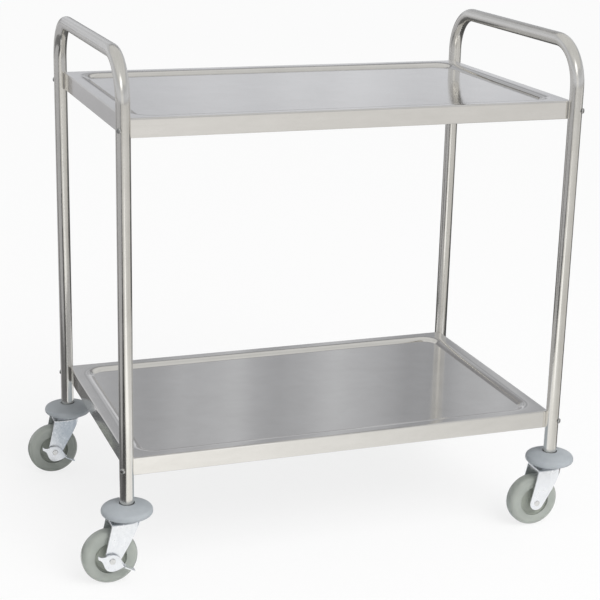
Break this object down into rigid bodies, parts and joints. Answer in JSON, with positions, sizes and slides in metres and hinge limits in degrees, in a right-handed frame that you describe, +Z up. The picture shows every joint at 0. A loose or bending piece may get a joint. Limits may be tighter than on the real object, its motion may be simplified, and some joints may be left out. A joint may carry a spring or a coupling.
{
  "type": "two-tier catering trolley",
  "caption": "Two-tier stainless catering trolley: bent-tube end frames, pressed trays nested on the posts, bumper discs, swivel casters and brake levers.",
  "frame": {"origin": "on the floor under the middle of the trolley's bounding box, with the casters trailing to the left", "axes": "+X along the trays towards the right-hand handle, +Y from front to rear, +Z up"},
  "size_m": [0.964, 0.607, 0.94],
  "materials": {
    "tube_steel": "polished stainless tube",
    "tray_steel": "fine-brushed stainless sheet",
    "screw_steel": "bright stainless fasteners",
    "zinc_plate": "bright zinc-plated pressed steel",
    "ball_steel": "polished bearing balls",
    "tyre_rubber": "grey non-marking rubber",
    "hub_plastic": "grey moulded hub",
    "bumper_rubber": "blue-grey moulded rubber",
    "plug_plastic": "black moulded plug"
  },
  "bodies": {
    "trolley_frame": {"left_end_frame": "tube_steel", "right_end_frame": "tube_steel", "top_tray": "tray_steel", "bottom_tray": "tray_steel", "top_tray_stiffener": "tray_steel", "bottom_tray_stiffener": "tray_steel", "top_tray_screws": "screw_steel", "bottom_tray_screws": "screw_steel", "top_tray_nuts": "screw_steel", "bottom_tray_nuts": "screw_steel", "tube_plug_front_left": "plug_plastic", "bumper_front_left": "bumper_rubber", "caster_stem_front_left": "zinc_plate", "upper_race_front_left": "zinc_plate", "tube_plug_front_right": "plug_plastic", "bumper_front_right": "bumper_rubber", "caster_stem_front_right": "zinc_plate", "upper_race_front_right": "zinc_plate", "tube_plug_rear_left": "plug_plastic", "bumper_rear_left": "bumper_rubber", "caster_stem_rear_left": "zinc_plate", "upper_race_rear_left": "zinc_plate", "tube_plug_rear_right": "plug_plastic", "bumper_rear_right": "bumper_rubber", "caster_stem_rear_right": "zinc_plate", "upper_race_rear_right": "zinc_plate"},
    "caster_front_left": {"fork_front_left": "zinc_plate", "swivel_balls_front_left": "ball_steel", "axle_front_left": "zinc_plate", "axle_nut_front_left": "zinc_plate", "axle_bush_front_left": "zinc_plate", "brake_washer_front_left": "zinc_plate"},
    "wheel_front_left": {"wheel_hub_front_left": "hub_plastic", "tyre_front_left": "tyre_rubber"},
    "brake_front_left": {"brake_lever_front_left": "zinc_plate"},
    "caster_front_right": {"fork_front_right": "zinc_plate", "swivel_balls_front_right": "ball_steel", "axle_front_right": "zinc_plate", "axle_nut_front_right": "zinc_plate", "axle_bush_front_right": "zinc_plate"},
    "wheel_front_right": {"wheel_hub_front_right": "hub_plastic", "tyre_front_right": "tyre_rubber"},
    "caster_rear_left": {"fork_rear_left": "zinc_plate", "swivel_balls_rear_left": "ball_steel", "axle_rear_left": "zinc_plate", "axle_nut_rear_left": "zinc_plate", "axle_bush_rear_left": "zinc_plate", "brake_washer_rear_left": "zinc_plate"},
    "wheel_rear_left": {"wheel_hub_rear_left": "hub_plastic", "tyre_rear_left": "tyre_rubber"},
    "brake_rear_left": {"brake_lever_rear_left": "zinc_plate"},
    "caster_rear_right": {"fork_rear_right": "zinc_plate", "swivel_balls_rear_right": "ball_steel", "axle_rear_right": "zinc_plate", "axle_nut_rear_right": "zinc_plate", "axle_bush_rear_right": "zinc_plate"},
    "wheel_rear_right": {"wheel_hub_rear_right": "hub_plastic", "tyre_rear_right": "tyre_rubber"}
  },
  "joints": [
    {"name": "swivel_front_left", "type": "hinge", "parent": "trolley_frame", "child": "caster_front_left", "pos_m": [-0.399, -0.2575, 0.121], "axis": [0, 0, 1], "continuous": true},
    {"name": "wheel_spin_front_left", "type": "hinge", "parent": "caster_front_left", "child": "wheel_front_left", "pos_m": [-0.432, -0.2575, 0.05], "axis": [0, 1, 0], "continuous": true},
    {"name": "brake_tilt_front_left", "type": "hinge", "parent": "caster_front_left", "child": "brake_front_left", "pos_m": [-0.432, -0.2575, 0.05], "axis": [0, -1, 0], "range_deg": [0, 35]},
    {"name": "swivel_front_right", "type": "hinge", "parent": "trolley_frame", "child": "caster_front_right", "pos_m": [0.436, -0.2575, 0.121], "axis": [0, 0, 1], "continuous": true},
    {"name": "wheel_spin_front_right", "type": "hinge", "parent": "caster_front_right", "child": "wheel_front_right", "pos_m": [0.403, -0.2575, 0.05], "axis": [0, 1, 0], "continuous": true},
    {"name": "swivel_rear_left", "type": "hinge", "parent": "trolley_frame", "child": "caster_rear_left", "pos_m": [-0.399, 0.2575, 0.121], "axis": [0, 0, 1], "continuous": true},
    {"name": "wheel_spin_rear_left", "type": "hinge", "parent": "caster_rear_left", "child": "wheel_rear_left", "pos_m": [-0.432, 0.2575, 0.05], "axis": [0, 1, 0], "continuous": true},
    {"name": "brake_tilt_rear_left", "type": "hinge", "parent": "caster_rear_left", "child": "brake_rear_left", "pos_m": [-0.432, 0.2575, 0.05], "axis": [0, -1, 0], "range_deg": [0, 35]},
    {"name": "swivel_rear_right", "type": "hinge", "parent": "trolley_frame", "child": "caster_rear_right", "pos_m": [0.436, 0.2575, 0.121], "axis": [0, 0, 1], "continuous": true},
    {"name": "wheel_spin_rear_right", "type": "hinge", "parent": "caster_rear_right", "child": "wheel_rear_right", "pos_m": [0.403, 0.2575, 0.05], "axis": [0, 1, 0], "continuous": true}
  ]
}
